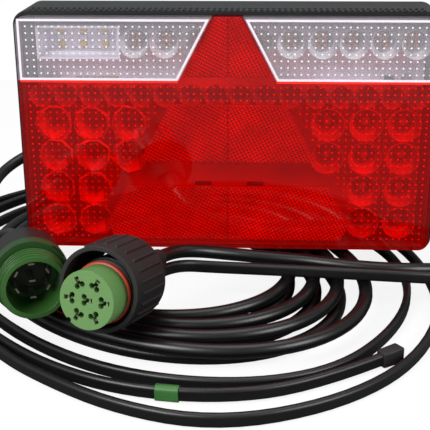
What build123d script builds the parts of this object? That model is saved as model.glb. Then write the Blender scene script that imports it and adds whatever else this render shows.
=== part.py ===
from build123d import *
from math import cos, pi, radians, sin, tan
import os

# Right-hand LED trailer lamp standing on its own coiled lead, with its two connectors laid in front.
# Millimetres. +X is to the right, +Y to the rear, +Z up. The origin is the middle of the rear
# mounting face, halfway between the two studs, so the lens looks along -Y.

# ---- lamp: overall sizes ----
lamp_width = 240.0
lamp_height = 140.0
lamp_depth = 52.0  # mounting face to the front of the lens
corner_radius = 8.0
lens_stand = 6.0  # lens front out of the housing
side_wall = 2.0
rear_wall = 3.0
rear_edge_radius = 4.0
fit_gap = 0.2  # moulded part in moulded part
bore_gap = 0.1  # pin, lead or shank in its bore

# ---- lens ----
lens_wall = 2.5
skirt_wall = 1.6
skirt_length = 9.0
seal_depth = 2.0
divider_drop = 38.0  # top of the housing to the line between the clear and the red lens
triangle_apex_half = 7.4  # at the top of the housing
triangle_foot_half = 27.5

# ---- boards ----
board_gap = 11.0  # rear wall to the back of the boards
board_thickness = 1.6
board_margin = 5.5
board_split = 2.0
upper_board_height = 50.5
standoff_radius = 4.0
screw_shank_radius = 1.5
screw_head_radius = 2.8
screw_head_height = 2.0
screw_reach = 6.0  # how far a board screw goes into its standoff

# ---- light points ----
led_width = 3.5
led_height = 2.8
led_rise = 1.9
cup_depth = 22.0
cup_wall = 1.0
cup_throat_radius = 3.4
indicator_pitch = 17.5
indicator_first = 18.7
indicator_drop = 19.5  # top of the housing down to the indicator row
indicator_mouth_radius = 8.4
indicators_left = 3
indicators_right = 6
tail_pitch = 14.5
tail_drop = 50.0
tail_mouth_radius = 6.4
brake_mouth_radius = 9.4
brake_row_pitch = 20.0
brake_column_pitch = 22.0
brake_edge = 18.0  # side of the housing in to the outermost column
brake_base = 13.6  # bottom of the housing up to the lowest row
reverse_pitch = 13.0
reverse_edge = 21.0  # side of the housing in to the outermost reversing light
reflector_length = 48.0
reflector_height = 19.0
reflector_depth = 20.0
reflector_wall = 1.2

# ---- triangle of prisms ----
prism_thickness = 3.0
backing_thickness = 1.2

# ---- rear of the lamp ----
stud_spacing = 152.0
stud_radius = 3.0
stud_knurl_radius = 3.4  # pressed into the boss
stud_length = 22.0
stud_head_radius = 6.0
stud_head_height = 3.0
stud_boss_radius = 9.0
stud_boss_height = 6.0
vent_radius = 5.0
vent_rise = 2.4
vent_spot = (40.0, -30.0)
gland_drop = 30.0
supply_gland_x = -50.0
link_gland_x = -86.0

# ---- leads ----
lead_diameter = 7.5
flat_lead_width = 6.8  # wide side of the two-core lead, which stands on its edge
coil_height = 15.7
lamp_lift = 0.3  # the lamp stands that far above its coil
table = -(lamp_height / 2 + lamp_lift + coil_height)  # what the coil lies on
coil_turn = 130.5  # long axis of the coil, degrees from +X
coil_outer_spot = (-34.0, -55.0)
coil_outer_size = (138.0, 103.0)
coil_inner_spot = (-45.0, -47.0)
coil_inner_size = (84.5, 67.0)

# ---- screwed plug (pins) ----
plug_spot = (-91.3, -153.5, table + 36.0)  # middle of its mouth
plug_heading = 20.0
plug_bore_radius = 14.0
plug_thread_radius = 17.2
plug_ring_radius = 19.9
plug_thread_length = 13.0
plug_ring_length = 6.0
plug_socket_depth = 22.0
plug_back_radius = 19.9
plug_length = 50.0
plug_relief_length = 20.0
thread_pitch = 2.6
thread_depth = 0.8
pin_count = 6  # on the circle, and one more in the middle
pin_circle = 9.0
pin_width = 3.0
pin_thickness = 1.0
pin_length = 12.5

# ---- coupling (sockets) with its loose nut ----
nut_spot = (-57.2, -169.9, table + 43.0)  # middle of the nut's rim
nut_heading = -20.0
nut_pitch = 9.0
nut_wall = 2.2
nut_rib_height = 0.8
nut_length = 30.0
nut_lip_length = 3.0
nut_sag = 2.4  # the coupling lies that much below the middle of its loose nut
insert_radius = 14.3
insert_reach = 10.6  # how far the insert stands out of the nut's rim
insert_length = 14.0
seal_width = 3.0
ring_radius = insert_radius + 1.1
collar_radius = insert_radius + 2.0
neck_radius = insert_radius - 0.9
nut_lip_radius = neck_radius + 2.8
nut_inner_radius = insert_radius + nut_sag + 2.3
nut_outer_radius = nut_inner_radius + nut_wall
coupling_length = 66.0
socket_depth = 9.0


def facing(y):
    """Plane at that depth which looks out of the lens: its x and y are the lamp's X and Z."""
    return Plane(origin=(0, y, 0), x_dir=(1, 0, 0), z_dir=(0, -1, 0))


def aimed(origin, heading, pitch=0.0):
    """Plane square to a connector: heading turns from -Y towards +X, pitch lifts it, in degrees."""
    turn, lift = radians(heading), radians(pitch)
    out = Vector(sin(turn) * cos(lift), -cos(turn) * cos(lift), sin(lift))
    return Plane(origin=origin, x_dir=(cos(turn), sin(turn), 0), z_dir=out)


def corner_radii(points):
    """One radius for each inner corner: 0.45 of the shorter run over the tangent of half the turn."""
    radii = []
    for before, at, after in zip(points, points[1:], points[2:]):
        run_in, run_out = Vector(at) - Vector(before), Vector(after) - Vector(at)
        turn = run_in.get_angle(run_out)
        radii.append(0.45 * min(run_in.length, run_out.length) / tan(radians(turn / 2)))
    return radii


def lead_along(name, points, diameter):
    """Round tube along a route, with the smallest bend and the length printed."""
    radii = corner_radii(points)
    with BuildPart() as tube:
        with BuildLine():
            route = FilletPolyline(*points, radius=radii)
        with BuildSketch(Plane(origin=route @ 0, z_dir=route % 0)):
            Circle(diameter / 2)
        sweep(path=route)
    share = tube.part.volume / (pi * diameter**2 / 4 * route.length)
    print(name, "length", round(route.length), "volume share", round(share, 4))
    print("   bends", [round(r) for r in radii])
    return finish(tube, name)


def finish(builder, name):
    """Labels a finished piece and writes it."""
    builder.part.label = name
    export_step(builder.part, f"parts/{name}.step")
    return builder.part


def row(first, pitch, count, height):
    """Places of a row of light points."""
    return [(first + pitch * k, height) for k in range(count)]


os.makedirs("parts", exist_ok=True)

# ---- derived places ----
housing_depth = lamp_depth - lens_stand
half_width = lamp_width / 2
half_height = lamp_height / 2
lens_width = lamp_width - 2 * (side_wall + fit_gap)
lens_height = lamp_height - 2 * (side_wall + fit_gap)
lens_radius = corner_radius - side_wall - fit_gap
skirt_back = -(lamp_depth - skirt_length)
ledge_y = skirt_back + seal_depth
ledge_wall = side_wall + fit_gap + skirt_wall
inner_radius = corner_radius - side_wall
divider = half_height - divider_drop
board_back = -(rear_wall + board_gap)
board_front = board_back - board_thickness

indicator_row = half_height - indicator_drop
tail_row = half_height - tail_drop
indicator_spots = row(-indicator_first, -indicator_pitch, indicators_left, indicator_row)
indicator_spots += row(indicator_first, indicator_pitch, indicators_right, indicator_row)
tail_count = 2 * int((half_width - ledge_wall) / tail_pitch)
tail_spots = row(-tail_pitch * (tail_count - 1) / 2, tail_pitch, tail_count, tail_row)
brake_outer = half_width - brake_edge
brake_rows = [brake_base - half_height + brake_row_pitch * k for k in range(4)]
brake_columns = [brake_outer, brake_outer - brake_column_pitch]
brake_spots = [(x, z) for x in brake_columns for z in brake_rows]
brake_spots += [(brake_outer - 2 * brake_column_pitch, z) for z in brake_rows[2:]]
fog_spots = [(-x, z) for x, z in brake_spots]
reverse_first = reverse_edge - half_width
reverse_spots = row(reverse_first, reverse_pitch, 3, indicator_row)

# ---- housing ----
stud_spots = [(-stud_spacing / 2, 0), (stud_spacing / 2, 0)]
gland_spots = [(supply_gland_x, -gland_drop), (link_gland_x, -gland_drop)]
upper_screw_spots = [(-104.0, 27.0), (0.0, 60.0), (104.0, 27.0)]
lower_screw_spots = [(-40.0, -58.0), (40.0, -58.0), (-27.0, 8.0), (27.0, 8.0)]
screw_spots = upper_screw_spots + lower_screw_spots
gland_hole_radius = 8.1

with BuildPart() as housing:
    with BuildSketch(facing(0)):
        RectangleRounded(lamp_width, lamp_height, corner_radius)
    extrude(amount=housing_depth)
    fillet(housing.faces().sort_by(Axis.Y)[-1].edges(), rear_edge_radius)
    with BuildSketch(facing(-rear_wall)):
        RectangleRounded(
            lamp_width - 2 * ledge_wall, lamp_height - 2 * ledge_wall, corner_radius - ledge_wall
        )
    extrude(amount=housing_depth, mode=Mode.SUBTRACT)
    with BuildSketch(facing(ledge_y)):
        RectangleRounded(lamp_width - 2 * side_wall, lamp_height - 2 * side_wall, inner_radius)
    extrude(amount=housing_depth, mode=Mode.SUBTRACT)
    with BuildSketch(facing(-rear_wall)):
        with Locations(*stud_spots):
            Circle(stud_boss_radius)
    extrude(amount=stud_boss_height)
    with BuildSketch(facing(-rear_wall)):
        with Locations(*screw_spots):
            Circle(standoff_radius)
    extrude(amount=board_gap)
    with BuildSketch(facing(0)):
        with Locations(*stud_spots):
            Circle(stud_knurl_radius + bore_gap)
        with Locations(*gland_spots):
            Circle(gland_hole_radius)
    extrude(amount=rear_wall + stud_boss_height, mode=Mode.SUBTRACT)
    with BuildSketch(facing(0)):
        with Locations(vent_spot):
            Circle(vent_radius - 2)
    extrude(amount=rear_wall, mode=Mode.SUBTRACT)
    with BuildSketch(facing(board_back)):
        with Locations(*screw_spots):
            Circle(screw_shank_radius + bore_gap)
    extrude(amount=-(screw_reach + 1), mode=Mode.SUBTRACT)
finish(housing, "housing")

# ---- lens: a clear strip and a red body welded edge to edge ----
with BuildSketch(facing(-lamp_depth)) as red_area:
    with BuildLine():
        Polyline(
            (-lamp_width, -lamp_height),
            (lamp_width, -lamp_height),
            (lamp_width, divider),
            (triangle_foot_half, divider),
            (triangle_apex_half, half_height),
            (-triangle_apex_half, half_height),
            (-triangle_foot_half, divider),
            (-lamp_width, divider),
            close=True,
        )
    make_face()
lens_nodes = (("red_lens", Mode.INTERSECT), ("clear_lens", Mode.SUBTRACT))
for lens_name, red_side in lens_nodes:
    with BuildPart() as lens:
        with BuildSketch(facing(skirt_back)):
            RectangleRounded(lens_width, lens_height, lens_radius)
        extrude(amount=skirt_length)
        with BuildSketch(facing(skirt_back)):
            RectangleRounded(
                lens_width - 2 * skirt_wall, lens_height - 2 * skirt_wall, lens_radius - skirt_wall
            )
        extrude(amount=skirt_length - lens_wall, mode=Mode.SUBTRACT)
        extrude(red_area.sketch, amount=-lamp_depth, mode=red_side)
    finish(lens, lens_name)

with BuildPart() as lens_seal:
    with BuildSketch(facing(ledge_y)):
        RectangleRounded(lens_width, lens_height, lens_radius)
        RectangleRounded(
            lens_width - 2 * skirt_wall,
            lens_height - 2 * skirt_wall,
            lens_radius - skirt_wall,
            mode=Mode.SUBTRACT,
        )
    extrude(amount=seal_depth)
finish(lens_seal, "lens_seal")

# ---- triangle: three blocks of prisms behind the red lens, each with its sealed backing ----
lens_inside = -(lamp_depth - lens_wall)
prism_slope = 0.53


def prism_outline(top, bottom, half_top, cut=0.0, drop=0.0):
    """Corners of one block: it widens as it goes down, and may lose its lower corners."""
    half_bottom = half_top + prism_slope * (top - bottom - drop)
    right = [(half_top, top), (half_bottom, bottom + drop)]
    if cut:
        right.append((half_bottom - cut, bottom))
    return right + [(-x, z) for x, z in reversed(right)]


prism_top = lens_height / 2 - skirt_wall - 0.4
prism_bottom = 6.0 - half_height
prism_blocks = [
    prism_outline(prism_top, divider + 1.5, 7.0),
    prism_outline(half_height - 52.4, half_height - 86.2, 32.9),
    prism_outline(prism_bottom + 33.0, prism_bottom, 58.9, cut=4.9, drop=9.2),
]
block_nodes = (
    ("triangle_reflectors", lens_inside, prism_thickness),
    ("reflector_backings", lens_inside + prism_thickness, backing_thickness),
)
for block_name, front, thickness in block_nodes:
    with BuildPart() as blocks:
        with BuildSketch(facing(front)):
            for corners in prism_blocks:
                with BuildLine():
                    Polyline(*corners, close=True)
                make_face()
        extrude(amount=-thickness)
    finish(blocks, block_name)

# ---- boards ----
board_width = lamp_width - 2 * (ledge_wall + board_margin - 4.0)
board_top = half_height - board_margin
upper_board_bottom = board_top - upper_board_height
board_bottom = -half_height + board_margin
lower_board_height = upper_board_bottom - board_split - board_bottom
board_nodes = (
    ("indicator_board", board_top - upper_board_height / 2, upper_board_height, upper_screw_spots),
    ("tail_board", board_bottom + lower_board_height / 2, lower_board_height, lower_screw_spots),
)
for board_name, middle, height, holes in board_nodes:
    with BuildPart() as board:
        with BuildSketch(facing(board_back)):
            with Locations((0, middle)):
                Rectangle(board_width, height)
            with Locations(*holes):
                Circle(screw_shank_radius + bore_gap, mode=Mode.SUBTRACT)
        extrude(amount=board_thickness)
    finish(board, board_name)

with BuildPart() as board_screws:
    with BuildSketch(facing(board_front)):
        with Locations(*screw_spots):
            Circle(screw_head_radius)
    extrude(amount=screw_head_height)
    with BuildSketch(facing(board_front)):
        with Locations(*screw_spots):
            Circle(screw_shank_radius)
    extrude(amount=-(board_thickness + screw_reach))
finish(board_screws, "board_screws")

# ---- light-emitting diodes ----
led_nodes = (
    ("indicator_leds", indicator_spots),
    ("reversing_leds", reverse_spots),
    ("tail_leds", tail_spots),
    ("brake_leds", brake_spots),
    ("fog_leds", fog_spots),
)
for led_name, spots in led_nodes:
    with BuildPart() as leds:
        with BuildSketch(facing(board_front)):
            with Locations(*spots):
                Rectangle(led_width, led_height)
        extrude(amount=led_rise)
    finish(leds, led_name)

# ---- optics: one open cone in front of each diode ----
cup_nodes = (
    ("indicator_cups", indicator_spots, indicator_mouth_radius),
    ("tail_cups", tail_spots, tail_mouth_radius),
    ("brake_cups", brake_spots, brake_mouth_radius),
    ("fog_cups", fog_spots, brake_mouth_radius),
)
foot = (Align.CENTER, Align.CENTER, Align.MIN)
for cup_name, spots, mouth_radius in cup_nodes:
    with BuildPart(facing(board_front)) as cups:
        with Locations(*spots):
            Cone(cup_throat_radius, mouth_radius, cup_depth, align=foot)
            Cone(
                cup_throat_radius - cup_wall,
                mouth_radius - cup_wall,
                cup_depth,
                align=foot,
                mode=Mode.SUBTRACT,
            )
    finish(cups, cup_name)

# ---- reversing reflector: a stepped open box round three diodes ----
reflector_middle = (reverse_first + reverse_pitch, indicator_row)
with BuildPart() as reversing_reflector:
    for step, depth in ((0.0, reflector_depth / 2), (2.0, reflector_depth)):
        start = board_front - (depth - reflector_depth / 2)
        with BuildSketch(facing(start)):
            with Locations(reflector_middle):
                Rectangle(reflector_length - 4 + 2 * step, reflector_height - 4 + 2 * step)
        extrude(amount=reflector_depth / 2)
        with BuildSketch(facing(start)):
            with Locations(reflector_middle):
                Rectangle(
                    reflector_length - 4 + 2 * step - 2 * reflector_wall,
                    reflector_height - 4 + 2 * step - 2 * reflector_wall,
                )
        extrude(amount=reflector_depth / 2, mode=Mode.SUBTRACT)
    with BuildSketch(facing(board_front - reflector_depth / 2)):
        with Locations(reflector_middle):
            Rectangle(reflector_length, reflector_height)
            Rectangle(
                reflector_length - 4 - 2 * reflector_wall,
                reflector_height - 4 - 2 * reflector_wall,
                mode=Mode.SUBTRACT,
            )
    extrude(amount=reflector_wall)
finish(reversing_reflector, "reversing_reflector")

# ---- parts on the boards ----
small_part_row = board_top - 38.0
chip_spots = [(-16.0, -12.0), (16.0, -12.0), (-16.0, -40.0), (16.0, -40.0)]
with BuildPart() as driver_chips:
    with BuildSketch(facing(board_front)):
        with Locations(*chip_spots):
            Rectangle(10.0, 4.0)
        with Locations((94.0, small_part_row)):
            Rectangle(5.0, 4.0)
    extrude(amount=1.6)
finish(driver_chips, "driver_chips")

with BuildPart() as board_resistors:
    with BuildSketch(facing(board_front)):
        with Locations(*row(-90.0, 4.4, 6, small_part_row)):
            Rectangle(3.2, 1.6)
        with Locations(*row(-22.0, 5.5, 9, -26.0)):
            Rectangle(3.2, 1.6)
    extrude(amount=0.8)
finish(board_resistors, "board_resistors")

wire_count = 5
wire_pitch = 2.4
wire_radius = 0.9
terminal_gap = 16.0  # gland axis to the near side of its terminal block
terminal_length = 12.0
terminal_height = 16.0
terminal_rise = 6.0
terminal_nodes = (("supply", supply_gland_x), ("link", link_gland_x))
with BuildPart() as terminal_blocks:
    with BuildSketch(facing(board_back)):
        for gland_name, gland_x in terminal_nodes:
            with Locations((gland_x + terminal_gap + terminal_length / 2, -gland_drop)):
                Rectangle(terminal_length, terminal_height)
    extrude(amount=-terminal_rise)
finish(terminal_blocks, "terminal_blocks")

# ---- rear: studs, vent and the two cable glands ----
with BuildPart() as mounting_studs:
    with BuildSketch(facing(stud_length)):
        with Locations(*stud_spots):
            Circle(stud_radius)
    extrude(amount=stud_length)
    with BuildSketch(facing(0)):
        with Locations(*stud_spots):
            Circle(stud_knurl_radius)
    extrude(amount=rear_wall + stud_boss_height)
    with BuildSketch(facing(-(rear_wall + stud_boss_height))):
        with Locations(*stud_spots):
            Circle(stud_head_radius)
    extrude(amount=stud_head_height)
finish(mounting_studs, "mounting_studs")

with BuildPart() as vent_plug:
    with BuildSketch(facing(0)):
        with Locations(vent_spot):
            Circle(vent_radius)
    extrude(amount=-vent_rise)
    with BuildSketch(facing(0)):
        with Locations(vent_spot):
            Circle(vent_radius - 2 - bore_gap)
    extrude(amount=rear_wall)
finish(vent_plug, "vent_plug")

gland_flange = 5.0
gland_nut_start = 7.0
gland_end = 21.0
gland_pocket_radius = 6.2
gland_thread_radius = 7.6
gland_half_flats = 10.0
gland_cap_radius = 9.4
lead_bore = lead_diameter / 2 + bore_gap
locknut_height = 4.0
gland_inside = rear_wall + locknut_height + 1.0
for gland_name, gland_x in terminal_nodes:
    spot = (gland_x, -gland_drop)
    with BuildPart() as gland_body:
        with BuildSketch(facing(0)):
            with Locations(spot):
                RegularPolygon(gland_half_flats, 6, major_radius=False)
        extrude(amount=-gland_flange)
        with BuildSketch(facing(gland_end - 5.0)):
            with Locations(spot):
                Circle(gland_thread_radius)
        extrude(amount=gland_end - 5.0 + gland_inside)
        with BuildSketch(facing(gland_end - 5.0)):
            with Locations(spot):
                Circle(lead_bore)
        extrude(amount=gland_end + gland_inside, mode=Mode.SUBTRACT)
        with BuildSketch(facing(gland_flange)):
            with Locations(spot):
                Circle(gland_pocket_radius)
        extrude(amount=-gland_end, mode=Mode.SUBTRACT)
    finish(gland_body, f"{gland_name}_gland_body")
    with BuildPart() as gland_seal:
        with BuildSketch(facing(gland_flange)):
            with Locations(spot):
                Circle(gland_pocket_radius - bore_gap)
                Circle(lead_bore, mode=Mode.SUBTRACT)
        extrude(amount=-(gland_end - 5.0 - gland_flange))
    finish(gland_seal, f"{gland_name}_gland_seal")
    with BuildPart() as gland_nut:
        with BuildSketch(facing(gland_nut_start)):
            with Locations(spot):
                RegularPolygon(gland_half_flats, 6, major_radius=False)
                Circle(gland_thread_radius + bore_gap, mode=Mode.SUBTRACT)
        extrude(amount=-(gland_end - 4.0 - gland_nut_start))
        with BuildSketch(facing(gland_end - 4.9)):
            with Locations(spot):
                Circle(gland_cap_radius)
                Circle(lead_bore, mode=Mode.SUBTRACT)
        extrude(amount=-4.9)
        fillet(gland_nut.edges().filter_by(GeomType.CIRCLE).sort_by(Axis.Y)[-2:], 1.2)
    finish(gland_nut, f"{gland_name}_gland_nut")

with BuildPart() as gland_locknuts:
    with BuildSketch(facing(-rear_wall)):
        with Locations(*gland_spots):
            RegularPolygon(gland_half_flats, 6, major_radius=False)
            Circle(gland_thread_radius + bore_gap, mode=Mode.SUBTRACT)
    extrude(amount=locknut_height)
finish(gland_locknuts, "gland_locknuts")

wire_y = -(gland_inside + wire_radius + 0.6)
with BuildPart() as core_wires:
    for gland_name, gland_x in terminal_nodes:
        for k in range(wire_count):
            z = -gland_drop + wire_pitch * (k - (wire_count - 1) / 2)
            with BuildSketch(Plane(origin=(gland_x - 2.0, wire_y, z), z_dir=(1, 0, 0))):
                Circle(wire_radius)
            extrude(amount=terminal_gap + 2.0)
finish(core_wires, "core_wires")

# ---- screwed plug with its pins ----
plug_face = aimed(plug_spot, plug_heading)
with BuildPart() as plug_shell:
    with BuildSketch(plug_face):
        Circle(plug_thread_radius - thread_depth)
    extrude(amount=-(plug_thread_length + plug_socket_depth))
    for k in range(4):
        with BuildSketch(plug_face.offset(-1.6 - thread_pitch * k)):
            Circle(plug_thread_radius)
        extrude(amount=-thread_pitch / 2)
    with BuildSketch(plug_face):
        Circle(plug_bore_radius)
    extrude(amount=-plug_socket_depth, mode=Mode.SUBTRACT)
    with BuildSketch(plug_face.offset(-plug_socket_depth)):
        Circle(plug_bore_radius - 2.5)
    extrude(amount=-plug_length, mode=Mode.SUBTRACT)
finish(plug_shell, "plug_shell")

with BuildPart() as plug_ring:
    with BuildSketch(plug_face.offset(-plug_thread_length)):
        Circle(plug_ring_radius)
        Circle(plug_thread_radius - thread_depth + bore_gap, mode=Mode.SUBTRACT)
    extrude(amount=-plug_ring_length)
    with BuildSketch(plug_face.offset(-plug_thread_length)):
        with PolarLocations(plug_ring_radius, 3, start_angle=40):
            Rectangle(3.0, 9.0)
    extrude(amount=-2.5, mode=Mode.SUBTRACT)
finish(plug_ring, "plug_ring")

with BuildPart() as plug_insert:
    with BuildSketch(plug_face.offset(-plug_socket_depth)):
        Circle(plug_bore_radius - 2.5 - bore_gap)
    extrude(amount=-(plug_thread_length - 1.0))
    with BuildSketch(plug_face.offset(-plug_socket_depth)):
        Rectangle(pin_width + 0.2, pin_thickness + 0.2)
        with PolarLocations(pin_circle, pin_count, start_angle=30):
            Rectangle(pin_thickness + 0.2, pin_width + 0.2)
    extrude(amount=-8.0, mode=Mode.SUBTRACT)
finish(plug_insert, "plug_insert")

with BuildPart() as plug_pins:
    with BuildSketch(plug_face.offset(-plug_socket_depth - 7.9)):
        Rectangle(pin_width, pin_thickness)
        with PolarLocations(pin_circle, pin_count, start_angle=30):
            Rectangle(pin_thickness, pin_width)
    extrude(amount=7.9 + pin_length)
finish(plug_pins, "plug_pins")

plug_back_start = plug_thread_length + plug_ring_length
with BuildPart() as plug_backshell:
    with BuildSketch(plug_face.offset(-plug_back_start)):
        Circle(plug_back_radius)
    with BuildSketch(plug_face.offset(-(plug_length - 12))):
        Circle(plug_back_radius - 1.5)
    loft()
    with BuildSketch(plug_face.offset(-(plug_length - 12))):
        Circle(plug_back_radius - 1.5)
    with BuildSketch(plug_face.offset(-plug_length)):
        Circle(9.0)
    loft()
    with BuildSketch(plug_face.offset(-plug_back_start)):
        Circle(plug_thread_radius - thread_depth + bore_gap)
    extrude(amount=-(plug_socket_depth - plug_ring_length), mode=Mode.SUBTRACT)
    with BuildSketch(plug_face.offset(-plug_length - 1)):
        Circle(lead_bore)
    extrude(amount=plug_length, mode=Mode.SUBTRACT)
finish(plug_backshell, "plug_backshell")

with BuildPart() as plug_relief:
    with BuildSketch(plug_face.offset(-plug_length)):
        Circle(7.5)
    with BuildSketch(plug_face.offset(-(plug_length + plug_relief_length))):
        Circle(lead_diameter / 2 + 1.2)
    loft()
    with BuildSketch(plug_face.offset(-plug_length)):
        Circle(lead_bore)
    extrude(amount=-plug_relief_length, mode=Mode.SUBTRACT)
finish(plug_relief, "plug_relief")

# ---- coupling: everything on its own axis, a little below the axis of the loose nut ----
nut_face = aimed(nut_spot, nut_heading, nut_pitch)
coupling_face = Plane(
    origin=nut_face.from_local_coords((0, -nut_sag, insert_reach)),
    x_dir=nut_face.x_dir,
    z_dir=nut_face.z_dir,
)


def contact_mouths():
    """Outline of the seven contact mouths: two round holes and a slot each."""
    for place in (Locations((0, 0)), PolarLocations(pin_circle, pin_count)):
        with place:
            with Locations((-1.3, 1.5), (-1.3, -1.5)):
                Circle(1.4)
            with Locations((1.2, 0)):
                Rectangle(3.6, 2.2)


with BuildPart() as coupling_insert:
    with BuildSketch(coupling_face):
        Circle(insert_radius)
    extrude(amount=-insert_length)
    with BuildSketch(coupling_face):
        contact_mouths()
        with PolarLocations(insert_radius, 1, start_angle=-130):
            Circle(1.3)
    extrude(amount=-socket_depth, mode=Mode.SUBTRACT)
finish(coupling_insert, "coupling_insert")

with BuildPart() as coupling_contacts:
    with BuildSketch(coupling_face.offset(-1.2)):
        for place in (Locations((0, 0)), PolarLocations(pin_circle, pin_count)):
            with place:
                with Locations((1.2, 0)):
                    Rectangle(0.9, 2.0)
    extrude(amount=-(socket_depth - 1.2))
finish(coupling_contacts, "coupling_contacts")

step_back = insert_length
with BuildPart() as coupling_seal:
    with BuildSketch(coupling_face.offset(-step_back)):
        Circle(ring_radius)
        Circle(ring_radius - seal_width, mode=Mode.SUBTRACT)
    extrude(amount=-seal_width)
    fillet(coupling_seal.edges().filter_by(GeomType.CIRCLE), 1.2)
finish(coupling_seal, "coupling_seal")

with BuildPart() as coupling_ring:
    with BuildSketch(coupling_face.offset(-(step_back + seal_width))):
        Circle(ring_radius)
        Circle(ring_radius - seal_width, mode=Mode.SUBTRACT)
    extrude(amount=-3.0)
finish(coupling_ring, "coupling_ring")

collar_start = step_back + seal_width + 3.0
nut_back = insert_reach + nut_length
with BuildPart() as coupling_body:
    with BuildSketch(coupling_face.offset(-step_back)):
        Circle(ring_radius - seal_width - bore_gap)
    extrude(amount=-(collar_start - step_back))
    with BuildSketch(coupling_face.offset(-collar_start)):
        Circle(collar_radius)
    extrude(amount=-(nut_back - nut_lip_length - 0.4 - collar_start))
    with BuildSketch(coupling_face.offset(-(nut_back - nut_lip_length - 0.4))):
        Circle(neck_radius)
    extrude(amount=-(nut_lip_length + 1.4))
    with BuildSketch(coupling_face.offset(-(nut_back + 1.0))):
        Circle(collar_radius)
    extrude(amount=-6.0)
finish(coupling_body, "coupling_body")

backshell_start = nut_back + 7.0
coupling_rear = insert_reach + coupling_length
with BuildPart() as coupling_backshell:
    with BuildSketch(coupling_face.offset(-backshell_start)):
        Circle(15.0)
    with BuildSketch(coupling_face.offset(-(backshell_start + 14))):
        Circle(11.5)
    loft()
finish(coupling_backshell, "coupling_backshell")

outlet_rise = 4.2  # each lead leaves this far above or below the coupling's own axis
with BuildPart() as coupling_boot:
    with BuildSketch(coupling_face.offset(-(backshell_start + 14))):
        SlotOverall(21.0, 11.0, rotation=90)
    with BuildSketch(coupling_face.offset(-coupling_rear)):
        SlotOverall(18.0, 9.6, rotation=90)
    loft()
finish(coupling_boot, "coupling_boot")

with BuildPart() as coupling_nut:
    with BuildSketch(nut_face):
        Circle(nut_outer_radius)
    extrude(amount=-nut_length)
    with BuildSketch(nut_face.offset(-6.0)):
        with PolarLocations(nut_outer_radius, 24):
            Circle(nut_rib_height)
    extrude(amount=-(nut_length - 8.0))
    with BuildSketch(nut_face):
        Circle(nut_inner_radius)
    extrude(amount=-(nut_length - nut_lip_length), mode=Mode.SUBTRACT)
    with BuildSketch(nut_face):
        Circle(nut_lip_radius)
    extrude(amount=-nut_length, mode=Mode.SUBTRACT)
finish(coupling_nut, "coupling_nut")

# ---- leads ----
with BuildPart() as supply_lead_coil:
    with BuildSketch(Plane.XY.offset(table)):
        with Locations(coil_outer_spot):
            Ellipse(*coil_outer_size, rotation=coil_turn)
        with Locations(coil_inner_spot):
            Ellipse(*coil_inner_size, rotation=coil_turn, mode=Mode.SUBTRACT)
    extrude(amount=coil_height)
finish(supply_lead_coil, "supply_lead_coil")

on_table = table + lead_diameter / 2
coupling_exit = coupling_face.offset(-coupling_rear)
round_exit = coupling_exit.from_local_coords((0, outlet_rise, 0))
round_ahead = coupling_exit.from_local_coords((0, outlet_rise, -17))
on_coil = table + coil_height + lead_diameter / 2 + 0.2
supply_front_route = [
    tuple(round_exit),
    tuple(round_ahead),
    (-17, -81, table + 28),
    (1, -74, table + 23.5),
    (22, -71, on_coil + 0.7),
    (44, -73, on_coil),
    (64, -79, on_coil),
    (88, -83, on_coil - 0.4),
    (114, -79, table + 17.5),
    (138, -64, table + 12),
    (153, -36, table + 6),
    (157, 0, on_table),
    (147, 36, on_table + 0.2),
    (118, 64, table + 8),
    (84, 75, table + 16),
    (48, 77, on_coil),
    (12, 74, on_coil),
    (-24, 69, table + 17),
    (-54, 58, table + 10),
]
lead_along("supply_lead_front", supply_front_route, lead_diameter)

supply_tail_route = [
    (supply_gland_x, -5, -gland_drop),
    (supply_gland_x, 40, -gland_drop),
    (-46, 66, -gland_drop - 3),
    (-31, 86, -gland_drop - 8),
    (-6, 96, table + 43),
    (20, 88, table + 38),
    (39, 66, table + 30),
    (45, 37, table + 20),
    (38, 10, table + 10),
]
lead_along("supply_lead_tail", supply_tail_route, lead_diameter)

plug_exit = plug_face.offset(-plug_length - 2)
link_route = [
    (link_gland_x, -5, -gland_drop),
    (link_gland_x, 44, -gland_drop),
    (-90, 70, -gland_drop - 3),
    (-106, 90, -gland_drop - 9),
    (-130, 96, table + 40),
    (-152, 86, table + 33),
    (-165, 62, table + 26.5),
    (-165, 30, table + 21.5),
    (-158, -4, on_coil),
    (-147, -34, on_coil),
    (-133, -60, table + 26),
    tuple(plug_exit.from_local_coords((0, 0, -30))),
    tuple(plug_exit.from_local_coords((0, 0, 0))),
]
lead_along("link_lead", link_route, lead_diameter)

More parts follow.
